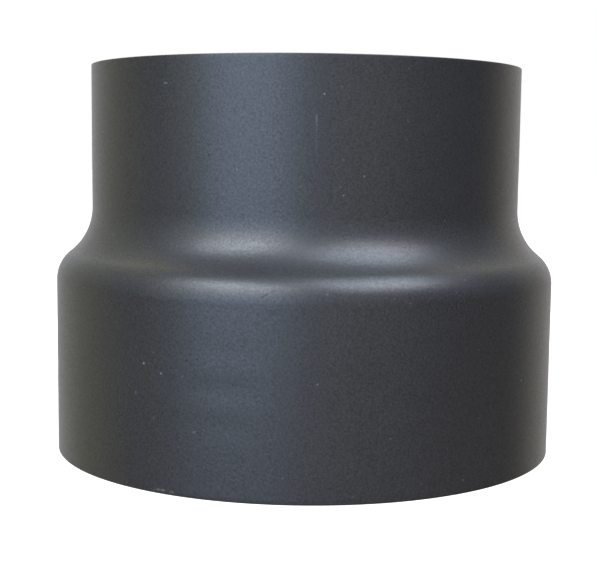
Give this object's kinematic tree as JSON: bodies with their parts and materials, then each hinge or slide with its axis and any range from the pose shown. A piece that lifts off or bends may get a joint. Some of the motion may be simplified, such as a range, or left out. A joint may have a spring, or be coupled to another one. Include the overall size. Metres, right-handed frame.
{
  "type": "concentric flue pipe reducer",
  "caption": "Round painted steel reducer with a wide straight socket, a smooth S-shaped shoulder and a narrower straight spigot on one axis.",
  "frame": {"origin": "on the reducer's axis, in the plane of the socket's open end, which is the surface it stands on", "axes": "+Z along the axis, from the wide socket to the narrow spigot; +Y points to the side that holds the seams"},
  "size_m": [0.184, 0.184, 0.14],
  "materials": {
    "shell_paint": "satin matt charcoal, heat resistant, fine orange peel",
    "weld_paint": "satin matt charcoal over weld metal, dressed flush outside, rippled root inside"
  },
  "bodies": {
    "root": {"socket_collar": "shell_paint", "transition_ring": "shell_paint", "spigot_collar": "shell_paint", "socket_seam_weld": "weld_paint", "transition_seam_weld": "weld_paint", "spigot_seam_weld": "weld_paint", "socket_girth_weld": "weld_paint", "spigot_girth_weld": "weld_paint"}
  },
  "joints": []
}
